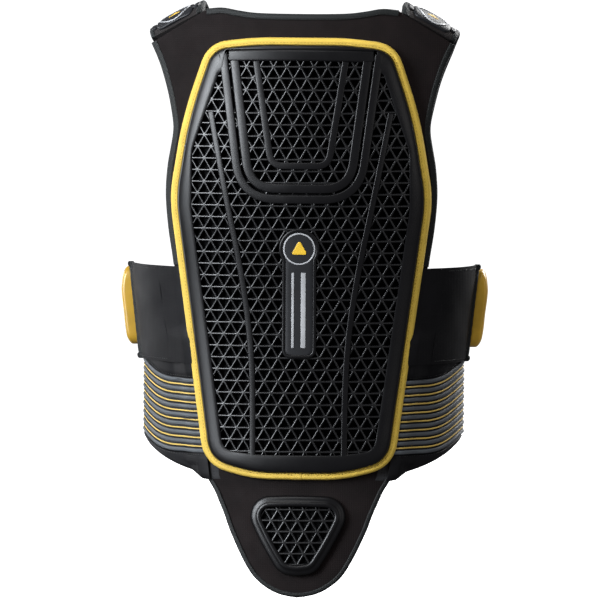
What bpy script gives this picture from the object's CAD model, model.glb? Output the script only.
import bpy
import bmesh
import math
from mathutils import Vector, Matrix, noise


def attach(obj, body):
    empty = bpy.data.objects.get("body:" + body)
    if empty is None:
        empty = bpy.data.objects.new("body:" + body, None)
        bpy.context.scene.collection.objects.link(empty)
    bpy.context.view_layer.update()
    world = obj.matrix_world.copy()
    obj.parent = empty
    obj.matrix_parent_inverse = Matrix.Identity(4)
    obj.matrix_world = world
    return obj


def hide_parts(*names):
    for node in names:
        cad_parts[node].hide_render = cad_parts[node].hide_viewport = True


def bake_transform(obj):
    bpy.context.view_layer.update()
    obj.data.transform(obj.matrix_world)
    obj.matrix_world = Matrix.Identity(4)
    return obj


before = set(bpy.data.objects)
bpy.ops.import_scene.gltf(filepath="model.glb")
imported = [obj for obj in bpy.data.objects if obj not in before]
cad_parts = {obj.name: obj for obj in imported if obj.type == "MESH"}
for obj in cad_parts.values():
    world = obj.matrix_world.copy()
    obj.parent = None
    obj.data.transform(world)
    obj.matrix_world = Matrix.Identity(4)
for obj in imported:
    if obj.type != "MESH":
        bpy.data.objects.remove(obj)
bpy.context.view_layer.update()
MM = 0.001

# Shapes are worked out in millimetres, in the frame of the part: +Z up, the wearer faces +Y,
# the armour's outer face looks towards -Y. Build.piece() turns them into metres.

# ---------------------------------------------------------------- the back surface of the part
BACK_RADIUS = 260.0


def spine_bulge(z):
    """How the back's middle line runs: out at the shoulder blades and at the seat."""
    blades = 16.0 * math.exp(-((z - 250.0) / 130.0) ** 2)
    seat = 12.0 * math.exp(-((z + 190.0) / 90.0) ** 2)
    return -blades - seat


def back_y(x, z):
    """The lining's inner face, which lies on the wearer's back."""
    return x * x / (2 * BACK_RADIUS) + spine_bulge(z) - spine_bulge(0.0)


def back_normal(x, z):
    """Unit vector out of the back, away from the wearer."""
    step = 0.5
    dx = (back_y(x + step, z) - back_y(x - step, z)) / (2 * step)
    dz = (back_y(x, z + step) - back_y(x, z - step)) / (2 * step)
    return Vector((dx, -1.0, dz)).normalized()


def on_back(x, z, out):
    """The point that lies that far outwards (towards -Y) from the wearer's side of the lining."""
    return Vector((x, back_y(x, z) - out, z))


# ---------------------------------------------------------------- small geometry helpers
def spread(low, high, count):
    """That many evenly spaced values, with both ends."""
    return [low + (high - low) * i / (count - 1) for i in range(count)]


def ease(t):
    t = min(1.0, max(0.0, t))
    return t * t * (3 - 2 * t)


def table(points, value):
    """Smoothly interpolated lookup in a short list of (key, value)."""
    points = sorted({round(k, 4): v for k, v in sorted(points)}.items())
    if value <= points[0][0]:
        return points[0][1]
    for i in range(len(points) - 1):
        (k0, v0), (k1, v1) = points[i], points[i + 1]
        if value <= k1:
            before = points[i - 1] if i > 0 else (2 * k0 - k1, v0)
            after = points[i + 2] if i + 2 < len(points) else (2 * k1 - k0, v1)
            m0 = (v1 - before[1]) / (k1 - before[0])
            m1 = (after[1] - v0) / (after[0] - k0)
            t = (value - k0) / (k1 - k0)
            h = k1 - k0
            return ((2 * t ** 3 - 3 * t ** 2 + 1) * v0 + (t ** 3 - 2 * t ** 2 + t) * h * m0
                    + (3 * t ** 2 - 2 * t ** 3) * v1 + (t ** 3 - t ** 2) * h * m1)
    return points[-1][1]


def corner_arc(before, corner, after, radius, count):
    """Points of the fillet at one corner of a polyline in the XZ plane."""
    a, c, b = Vector(before), Vector(corner), Vector(after)
    to_a, to_b = a - c, b - c
    len_a, len_b = to_a.length, to_b.length
    to_a.normalize()
    to_b.normalize()
    angle = to_a.angle(to_b)
    cut = min(radius / math.tan(angle / 2), 0.48 * len_a, 0.48 * len_b)
    start, end = c + to_a * cut, c + to_b * cut
    points = []
    for t in spread(0.0, 1.0, count):
        points.append(start * (1 - t) ** 2 + c * (2 * t * (1 - t)) + end * t ** 2)
    return points


def outline(corners, closed=True, per_arc=9, per_side=9):
    """A polyline with rounded corners; each corner is (x, z, radius)."""
    count = len(corners)
    arcs = []
    for i, (x, z, radius) in enumerate(corners):
        if not closed and i in (0, count - 1):
            arcs.append([Vector((x, z))])
        else:
            before, after = corners[i - 1], corners[(i + 1) % count]
            arcs.append(corner_arc(before[:2], (x, z), after[:2], radius, per_arc))
    points = []
    for i, arc in enumerate(arcs):
        points += arc
        if i + 1 < count or closed:
            start, end = arc[-1], arcs[(i + 1) % count][0]
            points += [start.lerp(end, k / per_side) for k in range(1, per_side)]
    return points


def both_sides(right):
    """Corners of the right half, from the top, made into a closed symmetric outline."""
    return right + [(-x, z, r) for x, z, r in reversed(right)]


def tangents(points, closed):
    count = len(points)
    found = []
    for i in range(count):
        a = points[i - 1] if closed or i > 0 else points[i]
        b = points[(i + 1) % count] if closed or i < count - 1 else points[i]
        found.append((b - a).normalized())
    return found


def moved_sideways(points, amount, closed=True):
    """A polyline moved to its left-hand side when amount is positive (outwards if clockwise)."""
    return [p + Vector((-t.y, t.x)) * amount for p, t in zip(points, tangents(points, closed))]


def even(points, step, closed=True):
    """The polyline resampled at an even step."""
    loop = points + [points[0]] if closed else points
    lengths = [0.0]
    for a, b in zip(loop, loop[1:]):
        lengths.append(lengths[-1] + (b - a).length)
    count = max(2, round(lengths[-1] / step))
    found, k = [], 0
    for i in range(count if closed else count + 1):
        want = lengths[-1] * i / count
        while k < len(lengths) - 2 and lengths[k + 1] < want:
            k += 1
        run = lengths[k + 1] - lengths[k]
        found.append(loop[k].lerp(loop[k + 1], (want - lengths[k]) / run if run else 0.0))
    return found


# ---------------------------------------------------------------- mesh helpers
class Build:
    """Collects vertices and faces of one piece, in millimetres."""

    def __init__(self):
        self.verts, self.faces, self.slots = [], [], []

    def loft(self, loops, closed=False, caps=True, slots=None):
        """Skin over cross-sections that all have the same number of points."""
        start, count, size = len(self.verts), len(loops), len(loops[0])
        marks = slots or [0] * size
        self.verts += [p for loop in loops for p in loop]
        for i in range(count if closed else count - 1):
            here, there = start + i * size, start + (i + 1) % count * size
            for k in range(size):
                m = (k + 1) % size
                self.faces.append([here + k, here + m, there + m, there + k])
                self.slots.append(marks[k])
        if caps and not closed:
            self.faces.append([start + k for k in range(size)])
            self.faces.append([start + (count - 1) * size + k for k in reversed(range(size))])
            self.slots += [marks[0]] * 2

    def piece(self, name, materials, body, slot, nodes=(), fill=None, weld=0.0, soften=None):
        """The finished object, with the body it rides on, its finish slot, the CAD nodes it replaces
        and, for a pad, its fill."""
        mesh = bpy.data.meshes.new(name)
        mesh.from_pydata([tuple(c * MM for c in v) for v in self.verts], [], self.faces)
        for material in materials:
            mesh.materials.append(material)
        for polygon, mark in zip(mesh.polygons, self.slots):
            polygon.material_index = mark
        work = bmesh.new()
        work.from_mesh(mesh)
        if weld:
            bmesh.ops.remove_doubles(work, verts=work.verts, dist=weld * MM)
        bmesh.ops.recalc_face_normals(work, faces=work.faces)
        for face in work.faces:
            face.smooth = True
        if soften is not None:
            for edge in work.edges:
                if len(edge.link_faces) == 2 and edge.calc_face_angle(0.0) > math.radians(soften):
                    edge.smooth = False
        work.to_mesh(mesh)
        work.free()
        obj = bpy.data.objects.new(name, mesh)
        bpy.context.scene.collection.objects.link(obj)
        if body:
            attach(obj, body)
        if nodes:
            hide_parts(*nodes)
        return obj


def back_strip(build, path, profile, closed=True):
    """A bar with that cross-section, (sideways, outwards), along a path on the back."""
    loops = []
    for p, t in zip(path, tangents(path, closed)):
        side = Vector((-t.y, t.x))
        loops.append([on_back(p.x + side.x * s, p.y + side.y * s, h) for s, h in profile])
    build.loft(loops, closed=closed)


def bar_profile(half, low, high, round_r, steps=3):
    """A rectangle whose two upper corners are rounded."""
    points = [(-half, low)]
    for i in range(steps + 1):
        a = math.pi / 2 * i / steps
        points.append((-half + round_r * (1 - math.cos(a)), high - round_r * (1 - math.sin(a))))
    for i in range(steps + 1):
        a = math.pi / 2 * (1 - i / steps)
        points.append((half - round_r * (1 - math.cos(a)), high - round_r * (1 - math.sin(a))))
    points.append((half, low))
    return points


def between(build, outer, inner, profile):
    """A ring between two matching closed outlines; the profile is (share of the way in, outwards)."""
    loops = []
    for a, b in zip(outer, inner):
        loops.append([on_back(*a.lerp(b, s), h) for s, h in profile])
    build.loft(loops, closed=True)


def rows(build, levels, half, top, bottom, across=16, slots=(0, 0)):
    """A closed solid on the back from rows at each level, half() to each side; top() and bottom() give
    the heights of its faces, and slots their materials."""
    grid_top, grid_low = [], []
    for z in levels:
        w = half(z)
        grid_top.append([on_back(u * w, z, top(u, z)) for u in spread(-1.0, 1.0, across)])
        grid_low.append([on_back(u * w, z, bottom(u, z)) for u in spread(-1.0, 1.0, across)])
    loops = [a + list(reversed(b)) for a, b in zip(grid_top, grid_low)]
    marks = [slots[0]] * across + [slots[1]] * (across - 1) + [slots[0]]
    build.loft(loops, slots=marks)


def stitches(build, points, normals, length, radius, gap, lift):
    """Short rounded threads along a 3D path, half sunk in the cloth."""
    run = 0.0
    sides = 5
    for (a, b), n in zip(zip(points, points[1:]), normals):
        step = (b - a).length
        if step < 1e-6:
            continue
        along = (b - a).normalized()
        while run < step:
            centre = a + along * run + n * lift
            across = along.cross(n).normalized()
            loops = []
            for s, r in ((-0.5, 0.35), (-0.3, 0.9), (0.0, 1.0), (0.3, 0.9), (0.5, 0.35)):
                loops.append([centre + along * (s * length)
                              + (across * math.cos(q) + n * math.sin(q)) * (r * radius)
                              for q in [2 * math.pi * k / sides for k in range(sides)]])
            build.loft(loops)
            run += length + gap
        run -= step


# ---------------------------------------------------------------- materials
class Nodes:
    """A Principled material with a few helpers for procedural colour, roughness and bump."""

    def __init__(self, name, color, rough, **sockets):
        self.mat = bpy.data.materials.new(name)
        self.mat.use_nodes = True
        self.nodes, self.links = self.mat.node_tree.nodes, self.mat.node_tree.links
        self.shader = self.nodes["Principled BSDF"]
        self.shader.inputs["Base Color"].default_value = (*color, 1.0)
        self.shader.inputs["Roughness"].default_value = rough
        for key, value in sockets.items():
            self.shader.inputs[key.replace("_", " ")].default_value = value
        self.coord = self.nodes.new("ShaderNodeTexCoord").outputs["Object"]
        self.color = color
        self.last_bump = None
        self.mat.diffuse_color = (*color, 1.0)

    def noise(self, scale, detail=3.0, rough=0.5, distortion=0.0):
        node = self.nodes.new("ShaderNodeTexNoise")
        node.inputs["Scale"].default_value = scale
        node.inputs["Detail"].default_value = detail
        node.inputs["Roughness"].default_value = rough
        node.inputs["Distortion"].default_value = distortion
        self.links.new(self.coord, node.inputs["Vector"])
        return node.outputs["Fac"]

    def wave(self, scale, direction, distortion=0.0, turned=None):
        node = self.nodes.new("ShaderNodeTexWave")
        node.bands_direction = direction
        node.inputs["Scale"].default_value = scale
        node.inputs["Distortion"].default_value = distortion
        node.inputs["Detail"].default_value = 1.0
        source = self.coord
        if turned:
            mapping = self.nodes.new("ShaderNodeMapping")
            mapping.inputs["Rotation"].default_value = turned
            self.links.new(self.coord, mapping.inputs["Vector"])
            source = mapping.outputs["Vector"]
        self.links.new(source, node.inputs["Vector"])
        return node.outputs["Fac"]

    def pores(self, scale):
        node = self.nodes.new("ShaderNodeTexVoronoi")
        node.inputs["Scale"].default_value = scale
        node.inputs["Randomness"].default_value = 0.25
        self.links.new(self.coord, node.inputs["Vector"])
        return node.outputs["Distance"]

    def math(self, a, b, operation="MULTIPLY"):
        node = self.nodes.new("ShaderNodeMath")
        node.operation = operation
        for socket, value in zip(node.inputs, (a, b)):
            if isinstance(value, (int, float)):
                socket.default_value = value
            else:
                self.links.new(value, socket)
        return node.outputs["Value"]

    def ramp(self, source, stops):
        node = self.nodes.new("ShaderNodeValToRGB")
        elements = node.color_ramp.elements
        while len(elements) < len(stops):
            elements.new(0.5)
        for element, (position, color) in zip(elements, stops):
            element.position = position
            element.color = (*color, 1.0)
        self.links.new(source, node.inputs["Fac"])
        return node.outputs["Color"]

    def tint(self, source, low, high, start=0.3, end=0.7):
        """Varies the base colour between two multiples of it."""
        dark = tuple(c * low for c in self.color)
        light = tuple(min(1.0, c * high) for c in self.color)
        self.links.new(self.ramp(source, [(start, dark), (end, light)]), self.shader.inputs["Base Color"])

    def roughen(self, source, low, high):
        node = self.nodes.new("ShaderNodeMapRange")
        node.inputs["To Min"].default_value = low
        node.inputs["To Max"].default_value = high
        self.links.new(source, node.inputs["Value"])
        self.links.new(node.outputs["Result"], self.shader.inputs["Roughness"])

    def bump(self, source, strength, distance):
        node = self.nodes.new("ShaderNodeBump")
        node.inputs["Strength"].default_value = strength
        node.inputs["Distance"].default_value = distance * MM
        self.links.new(source, node.inputs["Height"])
        if self.last_bump:
            self.links.new(self.last_bump, node.inputs["Normal"])
        self.last_bump = node.outputs["Normal"]
        self.links.new(self.last_bump, self.shader.inputs["Normal"])


def per_metre(cell):
    """The wave texture's scale for rows that lie that many millimetres apart."""
    return 1000 / cell / 6.28


def knit(name, color, cell=1.1, rough=0.85, depth=0.25, sheen=0.05, gloss=0.18):
    """Stretch knit: rows of fine loops, with soft worn patches."""
    m = Nodes(name, color, rough, Sheen_Weight=sheen, Sheen_Roughness=0.45, Specular_IOR_Level=gloss)
    loops = m.math(m.wave(per_metre(cell), "Z"), m.wave(per_metre(cell), "X"))
    m.bump(loops, 0.6, depth)
    m.bump(m.noise(45, 4.0), 0.25, 0.6)
    m.tint(m.noise(28, 4.0, 0.6), 0.72, 1.3)
    m.roughen(m.noise(60), rough - 0.1, min(1.0, rough + 0.08))
    return m.mat


def mesh_cloth(name, color, cell=1.9, rough=0.8):
    """Spacer or stretch mesh: small open pores."""
    m = Nodes(name, color, rough, Sheen_Weight=0.05, Sheen_Roughness=0.4, Specular_IOR_Level=0.2)
    holes = m.pores(1000 / cell)
    m.bump(holes, 0.7, 0.35)
    m.bump(m.noise(40, 3.0), 0.2, 0.6)
    dark, light = tuple(c * 0.45 for c in color), tuple(c * 1.35 for c in color)
    m.links.new(m.ramp(holes, [(0.12, dark), (0.42, light)]), m.shader.inputs["Base Color"])
    return m.mat


def woven(name, color, thread=0.9, rough=0.75, depth=0.3, variation=0.2, sheen=0.05,
          turned=(0.0, 0.6, 0.0)):
    """Flat woven textile with a diagonal twill."""
    m = Nodes(name, color, rough, Sheen_Weight=sheen, Sheen_Roughness=0.4, Specular_IOR_Level=0.25)
    twill = m.wave(per_metre(thread), "X", 0.4, turned)
    cross = m.wave(per_metre(thread), "Z", 0.3)
    m.bump(m.math(twill, cross, "ADD"), 0.55, depth)
    shade = m.math(m.noise(70, 5.0), m.math(twill, 0.35), "ADD")
    m.tint(shade, 1.0 - variation, 1.0 + variation * 0.6, 0.35, 1.0)
    return m.mat


def rubber(name, color, rough=0.42, grain=0.06, **sockets):
    """Moulded rubber: satin, faintly grained, with duller handled patches."""
    m = Nodes(name, color, rough, **sockets)
    m.bump(m.noise(900, 2.0), 0.35, grain)
    m.bump(m.noise(35, 2.0), 0.12, 0.5)
    m.tint(m.noise(22, 4.0, 0.6), 0.82, 1.22)
    m.roughen(m.noise(38, 5.0, 0.65), rough - 0.07, rough + 0.12)
    return m.mat


ARMOUR = rubber("armour_rubber", (0.0040, 0.0038, 0.0046), 0.33, Specular_IOR_Level=0.19)
GRID = rubber("grid_rubber", (0.0058, 0.0058, 0.0066), 0.33, Specular_IOR_Level=0.32)
DEPTHS = rubber("inner_foam", (0.0012, 0.0012, 0.0016), 0.9, 0.2, Specular_IOR_Level=0.1)
CARRIER = knit("carrier_knit", (0.0085, 0.0056, 0.0057), 1.2, 0.88, 0.25, 0.02, 0.1)
LINING = mesh_cloth("lining_spacer_mesh", (0.016, 0.016, 0.018), 3.2)
TAPE = woven("edge_tape", (0.0050, 0.0068, 0.0070), 1.0, 0.72, 0.3, 0.25)
YELLOW = woven("binding_textile", (0.84, 0.58, 0.088), 0.8, 0.72, 0.22, 0.14)
YELLOW_THREAD = woven("yellow_thread", (0.48, 0.30, 0.03), 0.5, 0.6, 0.1, 0.1)
BLACK_THREAD = woven("black_thread", (0.014, 0.014, 0.015), 0.5, 0.5, 0.1, 0.1)
BELT = knit("belt_cloth", (0.0050, 0.0048, 0.0060), 0.8, 0.62, 0.15, 0.02, 0.09)
BELT_DARK = knit("belt_edge_cloth", (0.0036, 0.0036, 0.0046), 0.8, 0.7, 0.15, 0.02, 0.08)
GREY_RIB = woven("elastic_grey", (0.088, 0.098, 0.110), 0.7, 0.6, 0.2, 0.12, 0.05, (0.0, 0.0, 0.0))
YELLOW_RIB = woven("elastic_yellow", (0.74, 0.51, 0.12), 0.6, 0.65, 0.12, 0.1)
BLACK_RIB = woven("elastic_black", (0.0040, 0.0040, 0.0050), 0.6, 0.7, 0.12, 0.2)
TAB = rubber("pull_tab_rubber", (0.60, 0.35, 0.024), 0.38, 0.05, Specular_IOR_Level=0.5)
BADGE = rubber("badge_plate_rubber", (0.0125, 0.013, 0.0155), 0.48, 0.05, Specular_IOR_Level=0.2)
SILVER = rubber("silver_print", (0.42, 0.43, 0.45), 0.42, 0.02)
YELLOW_PRINT = rubber("yellow_print", (0.80, 0.50, 0.02), 0.45, 0.02)
HOOKS = mesh_cloth("hook_tape", (0.012, 0.012, 0.013), 1.3, 0.5)
LOOPS = knit("loop_tape", (0.016, 0.016, 0.017), 0.9, 0.98, 0.5, 0.3)
STRAP = mesh_cloth("strap_mesh", (0.0100, 0.0076, 0.0076), 1.7, 0.82)


# ---------------------------------------------------------------- outlines on the back (mm)
LINING_OUT, CARRIER_OUT, MIDDLE_OUT = 3.5, 9.5, 14.5
BINDING_WIDTH = 7.6
TOP_FACE = 23.2            # the armour's smooth borders
GRID_FACE = 22.2           # the crests of the triangular grid
ARMOUR_ROOT = 15.0         # where its bars and borders start
BADGE_Z, BADGE_R, BADGE_HALF, BADGE_FOOT, BADGE_CORNER = 160.0, 17.6, 14.2, 48.5, 5.0
BADGE_FACE = 23.0          # where the badge's prints start

PANEL_CORNERS = [(46, 380.6, 300), (98.5, 374.5, 34), (124.3, 298, 420), (138.4, 212, 140),
                 (100.0, -70.0, 46), (46, -83.0, 160)]
FIELD_CORNERS = [(40, 367.6, 1), (79.4, 367.6, 1.5), (80.6, 345.0, 1.5), (86.0, 343.5, 2),
                 (114.0, 262, 40), (114.6, 200, 60), (79.5, -53.0, 16), (40, -57.0, 120)]
panel = outline(both_sides(PANEL_CORNERS))
core = moved_sideways(panel, -BINDING_WIDTH)
field = outline(both_sides(FIELD_CORNERS))

U_TOP = 370.0
FLEX_PATH = outline([(-78.5, U_TOP + 10, 0), (-57.5, 217.5, 38), (57.5, 217.5, 38), (78.5, U_TOP + 10, 0)],
                    closed=False, per_arc=14, per_side=24)
INNER_U = outline([(-47.5, 361, 0), (-30.0, 247.0, 15), (30.0, 247.0, 15), (47.5, 361, 0)],
                  closed=False, per_arc=9, per_side=20)
RIBS = [(94.5, 302.0), (85.0, 252.0), (75.5, 203.0), (64.5, 150.0), (56.0, 100.0), (50.5, 50.0),
        (48.5, 0.0), (48.0, -58.0)]

CARRIER_ARM = [(159.5, 373.0), (152.0, 357.0), (146.5, 342.0), (140.0, 319.0), (135.3, 294.0),
               (134.6, 281.0), (136.8, 266.0), (140.6, 243.0), (142.2, 214.0), (139.6, 181.0),
               (135.2, 152.0), (133.5, 140.0)]
CARRIER_SIDE = [(133.5, 140.0), (119.0, 36.0), (106.0, -54.0), (101.0, -72.0), (95.0, -85.0)]
CARRIER_TOP = [(0.0, 404.6), (45.0, 405.2), (66.0, 407.5), (84.0, 410.4), (101.0, 409.0)]
TAIL_SIDE = [(-58.0, 102.0), (-72.0, 100.0), (-84.0, 96.0), (-96.6, 88.5), (-109.0, 83.0), (-121.8, 77.5),
             (-134.4, 73.0), (-147.0, 67.5), (-159.6, 61.5), (-172.0, 55.0), (-184.8, 46.5),
             (-194.0, 36.5), (-201.0, 25.0), (-205.5, 12.0), (-207.0, 0.5)]


def smooth_path(points, step):
    """Catmull-Rom through the points, resampled; works in two and three dimensions."""
    pts = [Vector(p) for p in points]
    fine = []
    for i in range(len(pts) - 1):
        p0 = pts[i - 1] if i else pts[0] * 2 - pts[1]
        p3 = pts[i + 2] if i + 2 < len(pts) else pts[-1] * 2 - pts[-2]
        p1, p2 = pts[i], pts[i + 1]
        for t in spread(0.0, 1.0, 13)[:-1]:
            fine.append(0.5 * ((2 * p1) + (p2 - p0) * t + (2 * p0 - 5 * p1 + 4 * p2 - p3) * t * t
                               + (3 * p1 - p0 - 3 * p2 + p3) * t ** 3))
    fine.append(pts[-1])
    return even(fine, step, closed=False)


def both_halves(right):
    """A path of the right half, from the top centre round to the bottom centre, closed by its mirror."""
    left = [Vector((-p.x, p.y)) for p in reversed(right)]
    return right + [p for p in left if abs(p.x) > 0.01]


# ---------------------------------------------------------------- armour: smooth frame
def make_armour_frame():
    build = Build()
    profile = [(0.0, ARMOUR_ROOT), (0.0, 20.0), (0.02, 21.2), (0.08, 22.3), (0.2, 23.0), (0.45, 23.6),
               (0.75, 23.7), (0.93, TOP_FACE + 0.2), (0.985, TOP_FACE - 0.2), (1.0, TOP_FACE - 0.8),
               (1.0, ARMOUR_ROOT)]
    hub = Vector((0.0, 160.0))
    rim_edge = even(field, 2.6)
    between(build, [ray_hit(core, hub, p - hub) for p in rim_edge], rim_edge, profile)
    # The frame that hugs the upper insert, outside its flex line.
    outside = [p for p in moved_sideways(FLEX_PATH, -5.6, closed=False) if p.y < 366]
    back_strip(build, outside, bar_profile(4.4, ARMOUR_ROOT, TOP_FACE + 0.45, 1.1), closed=False)
    # Two long ribs across the grid.
    for side in (1, -1):
        path = smooth_path([(side * x, z) for x, z in RIBS], 5.0)
        back_strip(build, path, bar_profile(3.1, ARMOUR_ROOT, TOP_FACE + 0.1, 1.0), closed=False)
    # The raised rim round the badge.
    rim = keyhole(1.9)
    back_strip(build, rim, bar_profile(1.9, ARMOUR_ROOT, TOP_FACE + 0.6, 1.3))
    build.piece("armour_frame", [ARMOUR], "carrier", "armour_rubber", ["armour_outer_plate"], soften=50)


def keyhole(grow, step=3.0):
    """The outline of the badge: a disc on a rounded stem."""
    radius, half, foot, corner = BADGE_R + grow, BADGE_HALF + grow, BADGE_FOOT - grow, BADGE_CORNER + grow
    neck = math.asin(half / radius)
    points = [Vector((radius * math.sin(a), BADGE_Z + radius * math.cos(a)))
              for a in spread(-math.pi + neck, math.pi - neck, 41)]
    stem = [Vector((half, foot + corner))]
    stem += [Vector((half - corner + corner * math.cos(a), foot + corner - corner * math.sin(a)))
             for a in spread(0.0, math.pi / 2, 7)]
    stem += [Vector((-half + corner - corner * math.sin(a), foot + corner - corner * math.cos(a)))
             for a in spread(0.0, math.pi / 2, 7)]
    return even(points + stem, step)


def make_insert_frame():
    build = Build()
    rim = [p for p in moved_sideways(FLEX_PATH, 5.7, closed=False) if p.y < 367]
    back_strip(build, rim, bar_profile(4.8, ARMOUR_ROOT, TOP_FACE + 0.35, 1.2), closed=False)
    inner = [p for p in INNER_U if p.y < 361]
    back_strip(build, inner, bar_profile(3.6, ARMOUR_ROOT, TOP_FACE - 0.1, 1.0), closed=False)
    # The top bar, crowned, between the two arms of the rim.
    bar = [Vector((x, 361.3 + 1.2 * (1 - (x / 76.0) ** 2))) for x in spread(-75.5, 75.5, 40)]
    back_strip(build, bar, bar_profile(6.2, ARMOUR_ROOT, TOP_FACE + 0.9, 2.4, 5), closed=False)
    build.piece("armour_insert_frame", [ARMOUR], "carrier", "armour_rubber", ["armour_upper_insert"],
                soften=50)


# ---------------------------------------------------------------- armour: triangular grid
def grid_cells(build, cell, rise, origin_z, wanted, top, low, bar):
    """Triangular cells; each is a draughted hole, and neighbours share the crests of their bars."""
    inradius = rise / 3
    rings = [(0.0, 0.0), (bar * 0.32, -0.06), (bar * 0.46, -0.35), (bar * 0.56, -1.1),
             (bar * 0.95, low - top)]
    for row in range(-40, 40):
        base = origin_z + row * rise
        for column in range(-30, 31):
            middle = column * cell / 2
            up = (row + column) % 2 == 0
            tip, foot = (base + rise, base) if up else (base, base + rise)
            corners = [Vector((middle - cell / 2, foot)), Vector((middle, tip)),
                       Vector((middle + cell / 2, foot))]
            centre = (corners[0] + corners[1] + corners[2]) / 3
            if not wanted(centre):
                continue
            loops = []
            for inset, depth in rings:
                share = 1 - inset / inradius
                points = []
                for i in range(3):
                    here = centre + (corners[i] - centre) * share
                    before = centre + (corners[i - 1] - centre) * share
                    after = centre + (corners[(i + 1) % 3] - centre) * share
                    cut = 0.09 if inset == 0.0 else 0.13
                    tuck = 0.0 if inset == 0.0 else 0.05
                    points += [here.lerp(before, cut), here.lerp(centre, tuck), here.lerp(after, cut)]
                loops.append([on_back(p.x, p.y, top + depth) for p in points])
            build.loft(loops, caps=False)


def inside(poly, p):
    """Whether a point lies inside a closed polyline."""
    hit = False
    for a, b in zip(poly, poly[1:] + poly[:1]):
        if (a.y > p.y) != (b.y > p.y) and p.x < (b.x - a.x) * (p.y - a.y) / (b.y - a.y) + a.x:
            hit = not hit
    return hit


def make_grids():
    cell, rise, origin, floor, bar = 14.4, 12.3, 217.0, 15.2, 1.75
    insert_scale = 0.985
    wide_field = moved_sideways(field, 4.0)
    flex_outer = moved_sideways(FLEX_PATH, -3.0, closed=False)
    flex_inner = moved_sideways(FLEX_PATH, 4.5, closed=False)
    badge_clear = keyhole(-2.0)

    def in_field(p):
        return inside(wide_field, p) and not inside(flex_outer, p) and not inside(badge_clear, p)

    def in_insert(p):
        return inside(flex_inner, p) and p.y < 360

    build = Build()
    grid_cells(build, cell, rise, origin, in_field, GRID_FACE, floor, bar)
    build.piece("armour_grid", [GRID], "carrier", "armour_rubber", weld=0.05, soften=55)
    build = Build()
    grid_cells(build, cell * insert_scale, rise * insert_scale, origin, in_insert, GRID_FACE + 0.2, floor,
               bar)
    build.piece("armour_insert_grid", [GRID], "carrier", "armour_rubber", weld=0.05, soften=55)


def make_plies():
    """The dark plies seen through the grid, one sheet each."""
    half = sorted((p.y, p.x) for p in core if p.x > 0)
    low, high = half[0][0], half[-1][0]
    for node, top, bottom, inset in (("armour_middle_ply", MIDDLE_OUT, 8.6, 2.0),
                                     ("comfort_ply", 8.4, LINING_OUT + 0.1, 4.0)):
        build = Build()
        rows(build, spread(low + inset, high - inset, 46), lambda z: max(2.0, table(half, z) - inset),
             lambda u, z: top, lambda u, z: bottom, 22)
        build.piece(node + "_visual", [DEPTHS], "carrier", "foam", [node], fill=1.0)


# ---------------------------------------------------------------- carrier, lining, bindings
def ray_hit(poly, start, toward):
    """Where a ray from inside first leaves a closed polyline."""
    best = None
    for a, b in zip(poly, poly[1:] + poly[:1]):
        edge = b - a
        det = toward.x * -edge.y + edge.x * toward.y
        if abs(det) < 1e-9:
            continue
        gap = a - start
        t = (gap.x * -edge.y + edge.x * gap.y) / det
        s = (toward.x * gap.y - toward.y * gap.x) / det
        if t > 0 and -1e-6 <= s <= 1 + 1e-6 and (best is None or t > best):
            best = t
    return start + toward * best


def carrier_outline():
    top = smooth_path(CARRIER_TOP, 4.0)
    arm = smooth_path(CARRIER_ARM, 4.0)
    side = smooth_path(CARRIER_SIDE, 5.0)
    shoulder = even([top[-1], arm[0]], 5.0, closed=False)
    bottom = even([side[-1], Vector((0.0, -85.0))], 6.0, closed=False)
    right = top + shoulder[1:] + arm[1:] + side[1:] + bottom[1:]
    return both_halves(right)


carrier_edge = carrier_outline()


def half_at(poly, z):
    """Half the width of a closed symmetric outline at that level."""
    best = 1.0
    for a, b in zip(poly, poly[1:] + poly[:1]):
        if (a.y > z) != (b.y > z):
            best = max(best, (b.x - a.x) * (z - a.y) / (b.y - a.y) + a.x)
    return best


def ripple(p, size, seed=0.0):
    return noise.noise(Vector((p.x / size, p.y / size, seed)))


def make_carrier():
    build = Build()
    hub = Vector((0.0, 170.0))
    window = moved_sideways(core, 0.8)
    shares = [0.0, 0.05, 0.12, 0.2, 0.3, 0.42, 0.55, 0.68, 0.8, 0.9, 0.97, 1.0]
    loops = []
    for i, outer in enumerate(carrier_edge):
        inner = ray_hit(window, hub, outer - hub)
        span = (outer - inner).length
        top, low = [], []
        for s in shares:
            q = inner.lerp(outer, s)
            reach = max(0.0, span * s - BINDING_WIDTH)
            pucker = 0.28 * math.exp(-reach / 8.0) * math.sin(i * 2.3)
            fold = 0.55 * ripple(q, 34.0) + 0.2 * ripple(q, 13.0, 4.0)
            height = CARRIER_OUT - 1.3 * s ** 5 + pucker + fold * (1 - s ** 4) * min(1.0, reach / 10.0)
            top.append(on_back(q.x, q.y, height))
            low.append(on_back(q.x, q.y, LINING_OUT + 0.15))
        loops.append(top + list(reversed(low)))
    build.loft(loops, closed=True)
    build.piece("carrier_cloth", [CARRIER], "carrier", "carrier_mesh", ["carrier_shell"], fill=0.9)


def make_lining():
    build = Build()
    quilt_x, quilt_apart = 52.0, 88.0

    def low(u, z):
        """The lining's inner face dips along upright and level quilting seams."""
        x = u * half_at(carrier_edge, z)
        seam = min(abs(abs(x) - quilt_x), abs(x) + 4.0)
        quilt = 0.5 * math.exp(-(seam / 2.6) ** 2)
        cross = 0.35 * math.exp(-(((z + 40.0) % quilt_apart - quilt_apart / 2) / 2.2) ** 2)
        return 0.15 + quilt + cross + 0.5 * abs(u) ** 10

    levels = spread(-84.0, 402.5, 150)
    rows(build, levels, lambda z: half_at(carrier_edge, z) - 1.4, lambda u, z: LINING_OUT, low, 46)
    piece = build.piece("back_lining", [LINING], "carrier", "lining_mesh", ["inner_lining"])


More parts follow.
